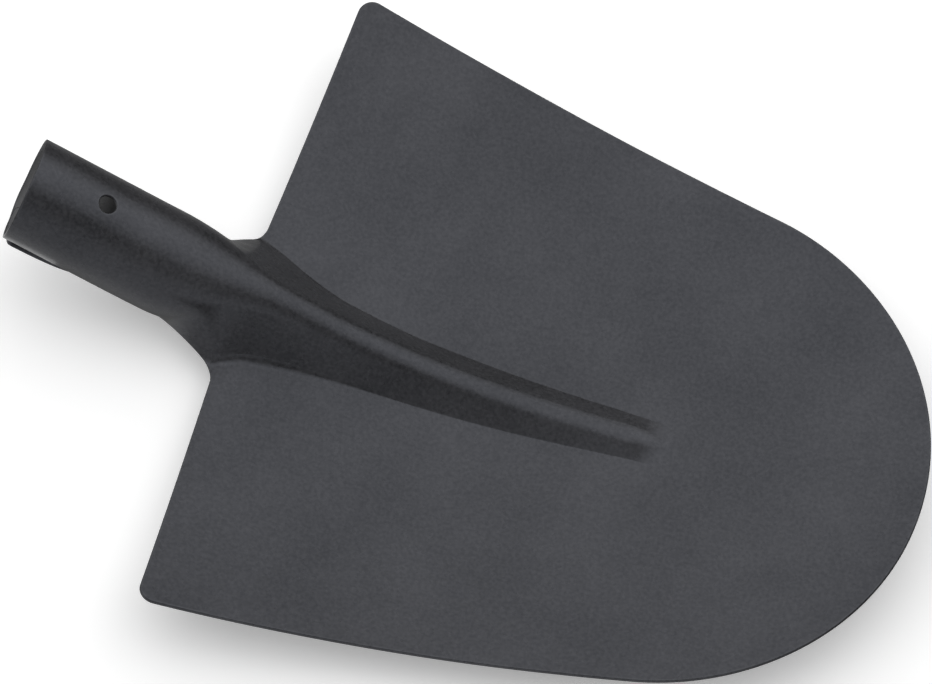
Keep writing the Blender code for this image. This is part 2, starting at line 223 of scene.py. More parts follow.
# Soft panels all round: turn from the nose, height and radiance of each
PANEL_FALL = 6.0
PANELS = {
    "behind the socket": (math.radians(180), 0.0, 0.80),
    "near left, low": (math.radians(210), math.radians(-45), 0.48),
    "near left, high": (math.radians(210), math.radians(45), 0.96),
    "near, low": (math.radians(270), math.radians(-45), 0.61),
    "near": (math.radians(270), 0.0, 0.47),
    "near right": (math.radians(315), 0.0, 0.86),
    "far right, high": (math.radians(30), math.radians(45), 0.67),
    "far, low": (math.radians(90), math.radians(-45), 0.28),
}

# Floor. Each noise here and below: cells per metre, detail, roughness
FLOOR_SIZE = 14.0
FLOOR_COLOUR = (0.95, 0.95, 0.95, 1.0)
FLOOR_COLOUR_DARK = (0.93575, 0.93575, 0.93575, 1.0)
FLOOR_ROUGHNESS = 0.9
FLOOR_GLOW = 0.25
FLOOR_NOISE = (3.0, 2.0, 0.5)

# Powder coat
PAINT_SPECULAR = 0.47
PAINT_TINT = (0.84, 0.88, 1.0, 1.0)
PAINT_ROUGHNESS = 0.29
ROUGHNESS_SPREAD = 0.05
RIVET_SMOOTHER = 0.03
PAINT_DARK = (0.0110, 0.0109, 0.0117, 1.0)
PAINT_LIGHT = (0.0495, 0.0493, 0.0526, 1.0)
GRAIN_NOISE = (760.0, 2.0, 0.5)
CLOUD_NOISE = (22.0, 4.0, 0.55)
MOTTLE_NOISE = (260.0, 2.0, 0.5)
NOISE_LOW = 0.3
NOISE_HIGH = 0.7
GRAIN_SHARE = 0.55
CLOUD_SHARE = 0.45
BUMP_GRAIN = 0.6
BUMP_STRENGTH = 0.5
BUMP_DISTANCE = 0.00012

# Paint rubbed lighter along the cut edges, with a painted highlight where they face the front, more in
# some spots than in others
PAINT_WORN_AND_HIGHLIT = (0.060, 0.061, 0.064, 1.0)
WEAR_HIGHLIGHT_REACH = 0.0040
WEAR_HIGHLIGHT_FROM = 0.90
WEAR_HIGHLIGHT_SPOT_LOW = 0.40
WEAR_HIGHLIGHT_SPOT_HIGH = 0.62
WEAR_HIGHLIGHT_LEAST = 0.15
WEAR_HIGHLIGHT_MOST = 0.8
RIVET_WEAR = 0.3

# Paler colour inside the socket, at its palest some way in from the mouth
PAINT_PALE_INSIDE = (0.620, 0.620, 0.625, 1.0)
PALE_FROM = -0.0380
PALE_FADE = 0.0200
PALE_REACH = 0.0160
PALE_AT_MOUTH = 0.18

# Derived sizes
TUBE_RADIUS = (SOCKET_BORE + SHEET) / 2
LAP_RADIUS = TUBE_RADIUS + SHEET + LAP_GAP
HALF_WIDTH = BLADE_WIDTH / 2
MOUTH_S = -MOUTH_BACK + TUBE_RADIUS * math.sin(SOCKET_LIFT)


def smooth(value):
    """Ease from 0 to 1 with level ends."""
    value = np.clip(value, 0.0, 1.0)
    return value * value * (3.0 - 2.0 * value)


def mix(first, second, share):
    return first + (second - first) * share


def dip(x):
    """How far the middle of the dish is drawn below an even bowl, where the rib is pressed."""
    return DIP_DEPTH * np.maximum(1.0 - ((x - DIP_X) / DIP_REACH) ** 2, 0.0) ** 2


def blade_height(x, y):
    """Middle of the dished sheet, away from the rib."""
    along = (x - BELLY_X) ** 2 / (2 * BELLY_RADIUS_ALONG)
    across = y ** 2 / (2 * BELLY_RADIUS_ACROSS)
    return SHEET / 2 + along + across - dip(x) * (1.0 - (y / DIP_HALF) ** 2)


def socket_crest(s):
    """Straight front line of the socket, in the middle of the sheet."""
    axis = MOUTH_HEIGHT - math.tan(SOCKET_LIFT) * (s + MOUTH_BACK)
    return axis + TUBE_RADIUS / math.cos(SOCKET_LIFT)


def rib_height(s):
    """Height of the crest above the blade: the socket's line first, then an easing curve."""
    rise = socket_crest(RIB_BEND) - blade_height(RIB_BEND, 0.0) - RIB_END_HEIGHT
    slope = math.tan(SOCKET_LIFT) + (RIB_BEND - BELLY_X) / BELLY_RADIUS_ALONG
    power = slope * (RIB_LEVEL - RIB_BEND) / rise
    left = np.maximum(RIB_LEVEL - s, 0.0) / (RIB_LEVEL - RIB_BEND)
    eased = (RIB_END_HEIGHT + rise * left ** power) * smooth((RIB_END - s) / RIB_FADE)
    return np.where(s <= RIB_BEND, socket_crest(s) - blade_height(s, 0.0), eased + dip(s))


def rib_half(s, side):
    """Half width of the rib at its foot, wider at the root on the side whose edge laps outside."""
    flare = RIB_FLARE * np.maximum(1.0 - s / RIB_FLARE_LENGTH, 0.0) ** RIB_FLARE_POWER
    outer_left = np.clip(1.0 - s / ROOT_FLARE_OUTER_LENGTH, 0.0, 1.0)
    outer = ROOT_FLARE_OUTER * outer_left ** ROOT_FLARE_OUTER_POWER
    outer = outer + END_SPREAD * smooth((s - END_SPREAD_START) / END_SPREAD_LENGTH)
    inner_left = np.clip(1.0 - s / ROOT_FLARE_INNER_LENGTH, 0.0, 1.0)
    inner = ROOT_FLARE_INNER * inner_left ** ROOT_FLARE_INNER_POWER
    return RIB_END_HALF + RIB_FOOT_LEAN * (RIB_LEVEL - s) + flare + np.where(side > 0.0, outer, inner)


def crown_radius(s):
    """Round of the crest in the middle of the sheet, from the rib's to the tube's."""
    share = smooth((CROWN_BLEND - s) / (2 * CROWN_BLEND))
    return mix(RIB_CROWN_RADIUS, TUBE_RADIUS, share)


def foot_radius(s, side):
    """Round between the flank and the flat, from the neck's to the rib's."""
    inner = smooth((INNER_BLEND_END - s) / INNER_BLEND)
    outer = smooth((OUTER_BLEND_END - s) / OUTER_BLEND)
    return mix(RIB_FOOT_RADIUS, NECK_FOOT_RADIUS, np.where(side > 0.0, outer, inner))


def section(s, side):
    """Crown radius, angle turned by the crown, and leg length at a station."""
    rising = np.maximum(s, RIB_START)
    height = rib_height(rising)
    half = rib_half(rising, side)
    both = crown_radius(rising) + foot_radius(rising, side)
    leg = np.sqrt(np.maximum(half ** 2 + height ** 2 - 2 * height * both, 0.0))
    angle = np.arctan2(height - both, half) + np.arctan2(both, leg)
    share = smooth((NECK_START - s) / (NECK_START - NECK_ROLLED)) ** NECK_EASE
    return crown_radius(s), mix(angle, FULL_WRAP, share), leg


def developed_half(s, side):
    """Distance on the blank from the crest to the foot of the rib."""
    crown, angle, leg = section(s, side)
    return (crown + foot_radius(s, side)) * angle + leg


def lap_lift(s, turn):
    """How far the outer edge stands off the inner one where they lap."""
    ramp = smooth((turn - LAP_RAMP_FROM) / (LAP_RAMP_TO - LAP_RAMP_FROM))
    return (LAP_RADIUS - TUBE_RADIUS) * ramp * smooth((LAP_START + LAP_FADE - s) / LAP_FADE)


def section_point(s, t):
    """Y and depth below the crest of blank points: crown, leg, foot, then the flat wing."""
    side = np.where(t >= 0.0, 1.0, -1.0)
    reach = np.abs(t)
    crown, angle, leg = section(s, side)
    arc = crown * angle
    turn = np.minimum(reach, arc) / crown
    radius = crown + np.where(side > 0.0, lap_lift(s, turn), 0.0)
    along = np.clip(reach - arc, 0.0, leg)
    y = radius * np.sin(turn) + along * np.cos(angle)
    depth = crown - radius * np.cos(turn) + along * np.sin(angle)
    past = np.maximum(reach - arc - leg, 0.0)
    foot = foot_radius(s, side)
    bent = np.minimum(past / foot, angle)
    y += foot * (np.sin(angle) - np.sin(angle - bent))
    depth += foot * (np.cos(angle - bent) - np.cos(angle))
    y += np.maximum(past - foot * angle, 0.0)
    return side * y, depth


def formed(s, t):
    """Places of blank points in the middle of the formed sheet, one row each."""
    y, depth = section_point(s, t)
    crest = np.where(s <= RIB_BEND, socket_crest(s), blade_height(s, 0.0) + rib_height(s))
    tilt = SOCKET_LIFT * smooth(s / NECK_ROLLED)
    dish = (blade_height(s, y) - blade_height(s, 0.0)) * smooth(1.0 + s / CROWN_BLEND)
    return np.stack([s - depth * np.sin(tilt), y, crest - depth * np.cos(tilt) + dish], axis=-1)


def unit(vectors):
    return vectors / np.linalg.norm(vectors, axis=-1, keepdims=True)


def facing(s, t):
    """Directions square to the formed sheet, out of its front face."""
    along = formed(s + NUDGE, t) - formed(s - NUDGE, t)
    across = formed(s, t + NUDGE) - formed(s, t - NUDGE)
    return unit(np.cross(along, across))


def rounded(corners, steps):
    """Polyline through (point, radius) corners, with each radius drawn as an arc."""
    line = []
    for number, (point, radius) in enumerate(corners):
        if radius == 0.0:
            line.append(point)
            continue
        back = (corners[number - 1][0] - point).normalized()
        ahead = (corners[number + 1][0] - point).normalized()
        half = back.angle(ahead) / 2
        middle = point + (back + ahead).normalized() * (radius / math.sin(half))
        start = point + back * (radius / math.tan(half)) - middle
        end = point + ahead * (radius / math.tan(half)) - middle
        sweep = math.atan2(start.cross(end), start.dot(end))
        for step in range(steps + 1):
            turn = Matrix.Rotation(sweep * step / steps, 2)
            line.append(middle + turn @ start)
    return line


def side_half(x):
    """Half width of the blade along its slightly bowed side."""
    past = x - HALF_WIDTH * math.tan(SHOULDER_SWEEP)
    return HALF_WIDTH - math.tan(SIDE_LEAN) * past - past ** 2 / (2 * SIDE_BOW_RADIUS)


def blade_edge():
    """Half of the blade's outline in plan, from the root of the back edge to the tip."""
    sweep = math.tan(SHOULDER_SWEEP)
    corner = Vector((HALF_WIDTH * sweep, HALF_WIDTH))
    along_side = Vector((NOSE_START, side_half(NOSE_START)))
    lead = Vector((corner.x + SIDE_LEAD, side_half(corner.x + SIDE_LEAD)))
    root = Vector((ROOT_HALF * sweep, ROOT_HALF))
    line = rounded([(root, 0.0), (corner, SHOULDER_RADIUS), (lead, 0.0)], CORNER_STEPS)
    count = round((NOSE_START - lead.x) / SIDE_STEP)
    for step in range(1, count + 1):
        x = mix(lead.x, NOSE_START, step / count)
        line.append(Vector((x, side_half(x))))
    slope = math.tan(SIDE_LEAN) + (NOSE_START - corner.x) / SIDE_BOW_RADIUS
    first_pull = along_side + Vector((1.0, -slope)).normalized() * NOSE_SIDE_PULL
    tip = Vector((BLADE_LENGTH, 0.0))
    last_pull = tip + Vector((0.0, NOSE_TIP_PULL))
    for step in range(1, NOSE_STEPS + 1):
        u = step / NOSE_STEPS
        v = 1.0 - u
        ends = v ** 3 * along_side + u ** 3 * tip
        line.append(ends + 3 * v ** 2 * u * first_pull + 3 * v * u ** 2 * last_pull)
    return line


def on_blank(plan, side):
    """Blank place of a point given in plan, outside the rib."""
    widened = float(developed_half(plan.x, side)) - float(rib_half(plan.x, side))
    return Vector((plan.x, plan.y + widened))


def lap_edge(s, side):
    """Cut edge of the rolled tail as a distance on the blank."""
    mouth = OUTER_EDGE_MOUTH if side > 0 else INNER_EDGE_MOUTH
    neck = OUTER_EDGE_NECK if side > 0 else INNER_EDGE_NECK
    share = (s - MOUTH_S) / (LAP_START - MOUTH_S)
    return TUBE_RADIUS * mix(mouth, neck, max(share, 0.0) ** LAP_EDGE_POWER)


def mouth_s(turn):
    """Station of the mouth's edge: farther out at the front, and set back where the rolled ends lap."""
    lean = TUBE_RADIUS * math.tan(MOUTH_LEAN) * math.cos(SOCKET_LIFT) * math.cos(turn)
    return MOUTH_S - lean + MOUTH_SETBACK * (turn / OUTER_EDGE_MOUTH) ** MOUTH_SETBACK_POWER


def waist_radius(tail, waist, root):
    """Round of the waist, which takes up a fixed share of the run to the root."""
    half = (tail - waist).angle(root - waist) / 2
    return WAIST_ROUND * (root - waist).length * math.tan(half)


def half_blank(side):
    """Blank outline on one side, from the middle of the mouth to the tip."""
    reach = lap_edge(MOUTH_S, side)
    count = math.ceil(reach / TUBE_RADIUS / TUBE_STEP)
    turns = [reach * step / count for step in range(count)]
    line = [Vector((mouth_s(turn / TUBE_RADIUS), turn)) for turn in turns]
    corner = Vector((mouth_s(reach / TUBE_RADIUS), reach))
    edge_s = corner.x + 2 * MOUTH_CORNER
    edge = Vector((edge_s, lap_edge(edge_s, side)))
    line = line[:-1] + rounded([(line[-2], 0.0), (corner, MOUTH_CORNER), (edge, 0.0)], CORNER_STEPS)[1:]
    rows = round((LAP_START - edge_s) / EDGE_STEP)
    for row in range(1, rows):
        s = mix(edge_s, LAP_START, row / rows)
        line.append(Vector((s, lap_edge(s, side))))
    plan = blade_edge()
    tail = Vector((LAP_START, lap_edge(LAP_START, side)))
    waist = Vector((WAIST_S, WAIST_T))
    root = on_blank(plan[0], side)
    neck = [
        (tail, 0.0),
        (waist, waist_radius(tail, waist, root)),
        (root, ROOT_RADIUS),
        (on_blank(plan[1], side), 0.0),
    ]
    line += rounded(neck, CORNER_STEPS)[:-1]
    line += [on_blank(point, side) for point in plan[1:]]
    return [Vector((point.x, side * point.y)) for point in line]


def split_long(line, longest):
    """Closed outline with its long straight runs cut into shorter ones."""
    parts = []
    for number, point in enumerate(line):
        after = line[(number + 1) % len(line)]
        count = max(1, round((after - point).length / longest))
        parts += [point.lerp(after, step / count) for step in range(count)]
    return parts


def station(from_mouth):
    """Crest station of a place measured along the socket from the mouth."""
    return MOUTH_S + from_mouth * math.cos(SOCKET_LIFT)


def ring(s, t, radius, stretch):
    """Hole on the blank, turned the other way from the outline."""
    turns = -2 * math.pi * np.arange(HOLE_SIDES) / HOLE_SIDES
    along = radius * math.cos(SOCKET_LIFT) * np.cos(turns)
    return np.stack([s + along, t + radius / stretch * np.sin(turns)], axis=-1)


def blank_loops():
    """Outline and holes of the blank. The sheet is always on the left of each loop."""
    left = half_blank(1.0)
    right = half_blank(-1.0)
    outline = np.array([point[:] for point in split_long(left + right[-2:0:-1], EDGE_STEP)])
    radius = RIVET_SHANK / 2 + RIVET_CLEARANCE
    loops = [outline[::-1], ring(station(FIXING_FROM_MOUTH), 0.0, FIXING_HOLE / 2, 1.0)]
    for from_mouth in RIVET_STATIONS.values():
        s = station(from_mouth)
        around = 2 * math.pi - RIVET_ANGLE
        loops.append(ring(s, -TUBE_RADIUS * RIVET_ANGLE, radius, 1.0))
        loops.append(ring(s, TUBE_RADIUS * around, radius, LAP_RADIUS / TUBE_RADIUS))
    return loops


def spread(first, last, step):
    """Even places from first to last, about a step apart, both ends included."""
    count = max(1, math.ceil(abs(last - first) / step))
    return [mix(first, last, number / count) for number in range(count + 1)]


def row_places(s, side):
    """Distances across one side of a row, close together on bends and wide on the flat."""
    crown, angle, leg = (float(value) for value in section(s, side))
    bend = TUBE_RADIUS * TUBE_STEP if s < RIB_START else BEND_STEP
    arc = crown * angle
    places = spread(0.0, arc, bend)
    places += spread(arc, arc + leg, LEG_STEP)[1:]
    foot = float(foot_radius(s, side))
    places += spread(arc + leg, arc + leg + foot * angle, min(BEND_STEP, foot * FOOT_STEP))[1:]
    return places


def inner_places():
    """Points inside the blank, each with the clearance it wants from a cut edge."""
    rows = spread(MOUTH_S - TUBE_ROW, NECK_ROLLED, TUBE_ROW)
    rows += spread(NECK_ROLLED, 0.0, NECK_ROW)[1:]
    rows += spread(0.0, RIB_END - RIB_FADE, RIB_ROW)[1:]
    rows += spread(RIB_END - RIB_FADE, RIB_END, FADE_ROW)[1:]
    nose_rows = spread(RIB_END, BLADE_LENGTH, WING_STEP)[1:]
    wing_steps = range(math.ceil(HALF_WIDTH / WING_STEP))
    places = []
    for side in (1.0, -1.0):
        for number, s in enumerate(rows):
            places += [(s, side * t, RIB_CLEAR) for t in row_places(s, side)]
            if s > 0.0 and number % 2 == 0:
                foot = float(developed_half(s, side))
                places += [(s, side * (foot + step * WING_STEP), WING_CLEAR) for step in wing_steps[1:]]
        for s in nose_rows:
            places += [(s, side * step * WING_STEP, WING_CLEAR) for step in wing_steps]
    return np.unique(np.round(places, PLACE_DIGITS) + 0.0, axis=0)


def edge_distance(points, loop):
    """Distances from points to a closed loop, negative outside it."""
    first = loop
    run = np.roll(loop, -1, axis=0) - first
    nearest = np.empty(len(points))
    inside = np.empty(len(points), dtype=bool)
    for start in range(0, len(points), BATCH):
        batch = slice(start, start + BATCH)
        part = points[batch, None, :]
        gap = part - first
        share = np.clip((gap * run).sum(-1) / (run * run).sum(-1), 0.0, 1.0)
        away = np.linalg.norm(gap - share[..., None] * run, axis=-1)
        nearest[batch] = away.min(axis=1)
        above = first[:, 1] > part[..., 1]
        crosses = above != np.roll(above, -1, axis=1)
        with np.errstate(divide="ignore", invalid="ignore"):
            at = first[:, 0] + gap[..., 1] / run[:, 1] * run[:, 0]
        inside[batch] = (crosses & (part[..., 0] < at)).sum(axis=1) % 2 == 1
    return np.where(inside, nearest, -nearest)


def blank_triangles(loops):
    """Points and triangles of the flat blank. The loops' points come first, in their order."""
    edges = []
    first = 0
    for loop in loops:
        edges += [(first + n, first + (n + 1) % len(loop)) for n in range(len(loop))]
        first += len(loop)
    places = inner_places()
    free = edge_distance(places[:, :2], loops[0]) >= places[:, 2]
    for loop in loops[1:]:
        free &= edge_distance(places[:, :2], loop) < -places[:, 2]
    points = np.concatenate(loops + [places[free, :2]])
    flat = [Vector(point) for point in points]
    made, _, triangles, _, _, _ = delaunay_2d_cdt(flat, edges, [], 0, MERGE)
    if len(made) != len(flat):
        raise RuntimeError("the blank's points were merged or its edges crossed")
    triangles = np.array(triangles)
    middles = points[triangles].mean(axis=1)
    kept = edge_distance(middles, loops[0]) > TOUCH
    for loop in loops[1:]:
        kept &= edge_distance(middles, loop) < -TOUCH
    triangles = triangles[kept]
    one, two, three = (points[triangles[:, corner]] for corner in range(3))
    turned = (two - one)[:, 0] * (three - one)[:, 1] - (two - one)[:, 1] * (three - one)[:, 0]
    triangles[turned < 0.0] = triangles[turned < 0.0][:, ::-1]
    return points, triangles


def belly_level():
    """Height of the sheet's lowest point, under the middle of the dish."""
    rows, columns = LEVEL_GRID
    s, y = np.meshgrid(np.linspace(0.0, BLADE_LENGTH, rows), np.linspace(0.0, HALF_WIDTH, columns))
    bowl = blade_height(s, y)
    return float(bowl[y >= rib_half(s, 1.0)].min()) - SHEET / 2 - BELLY_SPARE


def make_mesh(name, places, faces, normals, material, shares):
    """Object from plain arrays, with its normals given and named shares kept at its points."""
    mesh = bpy.data.meshes.new(name)
    mesh.from_pydata([tuple(place) for place in places], [], faces)
    mesh.shade_smooth()
    mesh.normals_split_custom_set_from_vertices([tuple(normal) for normal in normals])
    for title, share in shares.items():
        layer = mesh.attributes.new(title, "FLOAT", "POINT")
        layer.data.foreach_set("value", np.asarray(share, dtype=np.float32))
    mesh.materials.append(material)
    thing = bpy.data.objects.new(name, mesh)
    bpy.context.collection.objects.link(thing)
    return thing


def away_from_sheet(loops, middle, normal):
    """Directions out of the sheet at the points of its cut edges, and nothing at the others."""
    outward = np.zeros_like(middle)
    first = 0
    for loop in loops:
        here = slice(first, first + len(loop))
        rim = middle[here]
        ahead = unit(np.roll(rim, -1, axis=0) - rim)
        tangent = unit(ahead + np.roll(ahead, 1, axis=0))
        outward[here] = unit(np.cross(tangent, normal[here]))
        first += len(loop)
    return outward


def edge_profile():
    """Section of a cut edge from front to back: way out, height and turn of each step."""
    profile = []
    for step in range(1, ROUND_STEPS + 1):
        turn = math.pi / 2 * step / ROUND_STEPS
        up = SHEET / 2 - EDGE_ROUND * (1 - math.cos(turn))
        profile.append((EDGE_ROUND * math.sin(turn), up, turn))
    return profile + [(out, -up, math.pi - turn) for out, up, turn in profile[::-1]]


def wear_highlight_shares(points, loops, profile):
    """Wear and painted highlight at the front's points, the back's and the cut edges', in the order of
    the skin's points.
    """
    near = np.minimum(np.abs(edge_distance(points, loops[0])), 1.0)
    for loop in loops[1:]:
        near = np.minimum(near, np.abs(edge_distance(points, loop)))
    shares = [1.0 - np.clip(near / WEAR_HIGHLIGHT_REACH, 0.0, 1.0), np.zeros(len(points))]
    for loop in loops:
        # The rounded edge is painted lighter as a highlight where it faces the front, and not where it
        # faces the back.
        shares += [np.full(len(loop), max(math.cos(turn), 0.0)) for _, _, turn in profile]
    return np.concatenate(shares)


def make_sheet(material, shift):
    """The whole formed sheet as one closed skin: front, back and rounded cut edges."""
    loops = blank_loops()
    points, triangles = blank_triangles(loops)
    middle = formed(points[:, 0], points[:, 1])
    normal = facing(points[:, 0], points[:, 1])
    outward = away_from_sheet(loops, middle, normal)
    half = SHEET / 2
    inset = middle - outward * EDGE_ROUND
    places = [inset + normal * half, inset - normal * half]
    normals = [normal, -normal]
    count = len(points)
    faces = [tuple(triangle) for triangle in triangles]
    faces += [tuple(corner + count for corner in triangle[::-1]) for triangle in triangles]
    profile = edge_profile()
    total = 2 * count
    first = 0
    for loop in loops:
        size = len(loop)
        here = slice(first, first + size)
        rings = [list(range(first, first + size))]
        for out, up, turn in profile:
            places.append(inset[here] + outward[here] * out + normal[here] * up)
            normals.append(outward[here] * math.sin(turn) + normal[here] * math.cos(turn))
            rings.append(list(range(total, total + size)))
            total += size
        rings.append(list(range(count + first, count + first + size)))
        for upper, lower in zip(rings, rings[1:]):
            for n in range(size):
                after = (n + 1) % size
                faces.append((upper[after], upper[n], lower[n], lower[after]))
        first += size
    # The back face inside the socket is made paler, most some way in from the mouth.
    depth = smooth((points[:, 0] - MOUTH_S) / PALE_REACH)
    inside = smooth((PALE_FROM - points[:, 0]) / PALE_FADE) * mix(PALE_AT_MOUTH, 1.0, depth)
    pale_inside = np.concatenate([np.zeros(count), inside, np.zeros(total - 2 * count)])
    # edge holds the rubbed paint and the painted highlight along the front of the cut edges.
    shares = {"edge": wear_highlight_shares(points, loops, profile), "pale_inside": pale_inside}
    places = np.concatenate(places) + np.array(shift)
    return make_mesh("pressed_sheet", places, faces, np.concatenate(normals), material, shares)


def rivet_profile():
    """Half section of a set rivet about its axis, from the flat inner head to the domed outer one."""
    head = RIVET_HEAD / 2
    shank = RIVET_SHANK / 2
    inner = TUBE_RADIUS - SHEET / 2 - RIVET_SEAT
    outer = LAP_RADIUS + SHEET / 2
    profile = [(0.0, inner - RIVET_FLAT), (head - 2 * RIVET_RIM, inner - RIVET_FLAT)]
    for step in range(1, ROUND_STEPS + 1):
        turn = math.pi / 2 * step / ROUND_STEPS
        out = head - 2 * RIVET_RIM + 2 * RIVET_RIM * math.sin(turn)
        profile.append((out, inner - RIVET_FLAT + RIVET_RIM * (1 - math.cos(turn))))
    profile += [(head, inner), (shank, inner + RIVET_SEAT)]
    profile += [(shank, outer - RIVET_SEAT), (head, outer - RIVET_SEAT)]
    profile.append((head, outer + RIVET_RIM / 2))
    for step in range(1, DOME_STEPS):
        turn = math.pi / 2 * step / DOME_STEPS
        up = outer + RIVET_RIM / 2 + (RIVET_DOME - RIVET_RIM / 2) * math.sin(turn)
        profile.append((head * math.cos(turn), up))
    profile.append((0.0, outer + RIVET_DOME))
    return profile


def make_rivet(name, from_mouth, material, shift):
    """Turned rivet, set square through the lap."""
    shape = bmesh.new()
    corners = [shape.verts.new((radius, 0.0, height)) for radius, height in rivet_profile()]
    edges = [shape.edges.new(pair) for pair in zip(corners, corners[1:])]
    bmesh.ops.spin(
        shape, geom=corners + edges, cent=(0.0, 0.0, 0.0), axis=(0.0, 0.0, 1.0),
        angle=2 * math.pi, steps=HOLE_SIDES, use_merge=True,
    )
    bmesh.ops.remove_doubles(shape, verts=shape.verts, dist=TOUCH)
    bmesh.ops.recalc_face_normals(shape, faces=shape.faces)
    s = station(from_mouth)
    front = Vector((math.sin(SOCKET_LIFT), 0.0, math.cos(SOCKET_LIFT)))
    crest = Vector((s, 0.0, float(socket_crest(s))))
    turn = Matrix.Rotation(SOCKET_LIFT, 4, "Y") @ Matrix.Rotation(RIVET_ANGLE, 4, "X")
    place = Matrix.Translation(crest - front * TUBE_RADIUS + Vector(shift)) @ turn
    shape.transform(place)
    mesh = bpy.data.meshes.new(name)
    shape.to_mesh(mesh)
    shape.free()
    mesh.shade_smooth()
    mesh.set_sharp_from_angle(angle=RIVET_CREASE)
    layer = mesh.attributes.new("edge", "FLOAT", "POINT")
    layer.data.foreach_set("value", np.full(len(mesh.vertices), RIVET_WEAR, dtype=np.float32))
    mesh.materials.append(material)
    thing = bpy.data.objects.new(name, mesh)
    bpy.context.collection.objects.link(thing)
    return thing


def link(tree, source, output, target, entry):
    """Join one node's output to another's entry."""
    tree.links.new(source.outputs[output], target.inputs[entry])


def noise(tree, where, kind):
    """Noise texture over the object, with its scale in cells per metre."""
    scale, detail, roughness = kind
    node = tree.nodes.new("ShaderNodeTexNoise")
    node.inputs["Scale"].default_value = scale
    node.inputs["Detail"].default_value = detail
    node.inputs["Roughness"].default_value = roughness
    link(tree, where, "Object", node, "Vector")
    return node


def ranged(tree, source, output, low, high, to_low, to_high):
    """The source's values from low to high, spread over another range."""
    node = tree.nodes.new("ShaderNodeMapRange")
    node.inputs["From Min"].default_value = low
    node.inputs["From Max"].default_value = high
    node.inputs["To Min"].default_value = to_low
    node.inputs["To Max"].default_value = to_high
    link(tree, source, output, node, "Value")
    return node


def combined(tree, operation, first, first_output, second, second_output):
    """Two values joined by one sum or product."""
    node = tree.nodes.new("ShaderNodeMath")
    node.operation = operation
    link(tree, first, first_output, node, 0)
    link(tree, second, second_output, node, 1)
    return node


def calculated(tree, operation, source, number):
    """The source's value joined with a number."""
    node = tree.nodes.new("ShaderNodeMath")
    node.operation = operation
    node.inputs[1].default_value = number
    link(tree, source, "Value", node, 0)
    return node


def attribute(tree, name):
    """Share kept at the mesh's points under a name."""
    node = tree.nodes.new("ShaderNodeAttribute")
    node.attribute_name = name
    return node


def colour_mix(tree, first, second, share, output):
    """Two colours mixed by a share. first is a colour or the node that it comes from."""
    node = tree.nodes.new("ShaderNodeMix")
    node.data_type = "RGBA"
    if isinstance(first, tuple):
        node.inputs["A"].default_value = first
    else:
        link(tree, first, "Result", node, "A")
    node.inputs["B"].default_value = second
    link(tree, share, output, node, "Factor")
    return node


def powder_coat(name, roughness):
    """Charcoal powder coat: fine grain, soft clouding, rubbed cut edges with a painted highlight, and a
    paler inside.
    """
    material = bpy.data.materials.new(name)
    material.use_nodes = True
    tree = material.node_tree
    shader = tree.nodes["Principled BSDF"]
    shader.inputs["Metallic"].default_value = 0.0
    shader.inputs["Specular IOR Level"].default_value = PAINT_SPECULAR
    shader.inputs["Specular Tint"].default_value = PAINT_TINT
    where = tree.nodes.new("ShaderNodeTexCoord")
    grain = noise(tree, where, GRAIN_NOISE)
    cloud = noise(tree, where, CLOUD_NOISE)
    mottle = noise(tree, where, MOTTLE_NOISE)
    fine = ranged(tree, grain, "Fac", NOISE_LOW, NOISE_HIGH, 0.0, GRAIN_SHARE)
    broad = ranged(tree, cloud, "Fac", NOISE_LOW, NOISE_HIGH, 0.0, CLOUD_SHARE)
    both = combined(tree, "ADD", fine, "Result", broad, "Result")
    blend = colour_mix(tree, PAINT_DARK, PAINT_LIGHT, both, "Value")
    # Lighter cut edges: rubbed paint with a painted highlight, more in some spots than in others.
    edge = ranged(tree, attribute(tree, "edge"), "Fac", WEAR_HIGHLIGHT_FROM, 1.0, 0.0, 1.0)
    spots = ranged(tree, mottle, "Fac", WEAR_HIGHLIGHT_SPOT_LOW, WEAR_HIGHLIGHT_SPOT_HIGH, WEAR_HIGHLIGHT_LEAST, WEAR_HIGHLIGHT_MOST)
    wear_highlight = combined(tree, "MULTIPLY", edge, "Result", spots, "Result")
    worn_highlit = colour_mix(tree, blend, PAINT_WORN_AND_HIGHLIT, wear_highlight, "Value")
    coat = colour_mix(tree, worn_highlit, PAINT_PALE_INSIDE, attribute(tree, "pale_inside"), "Fac")
    link(tree, coat, "Result", shader, "Base Color")
    low, high = roughness - ROUGHNESS_SPREAD, roughness + ROUGHNESS_SPREAD
    rough = ranged(tree, mottle, "Fac", NOISE_LOW, NOISE_HIGH, low, high)
    link(tree, rough, "Result", shader, "Roughness")
    height = tree.nodes.new("ShaderNodeMath")
    height.operation = "MULTIPLY_ADD"
    height.inputs[1].default_value = BUMP_GRAIN
    link(tree, grain, "Fac", height, 0)
    link(tree, mottle, "Fac", height, 2)
    bump = tree.nodes.new("ShaderNodeBump")
    bump.inputs["Strength"].default_value = BUMP_STRENGTH
    bump.inputs["Distance"].default_value = BUMP_DISTANCE
    link(tree, height, "Value", bump, "Height")
    link(tree, bump, "Normal", shader, "Normal")
    return material


def floor_material():
    """Plain pale studio floor, lit from below like a light table, with the faintest unevenness."""
    material = bpy.data.materials.new("studio_floor")
    material.use_nodes = True
    tree = material.node_tree
    shader = tree.nodes["Principled BSDF"]
    shader.inputs["Roughness"].default_value = FLOOR_ROUGHNESS
    shader.inputs["Specular IOR Level"].default_value = 0.0
    shader.inputs["Emission Color"].default_value = (1.0, 1.0, 1.0, 1.0)
    shader.inputs["Emission Strength"].default_value = FLOOR_GLOW
    material.cycles.emission_sampling = "NONE"
    where = tree.nodes.new("ShaderNodeTexCoord")
    cloud = noise(tree, where, FLOOR_NOISE)
    shade = colour_mix(tree, FLOOR_COLOUR, FLOOR_COLOUR_DARK, cloud, "Fac")
    link(tree, shade, "Result", shader, "Base Color")
    return material


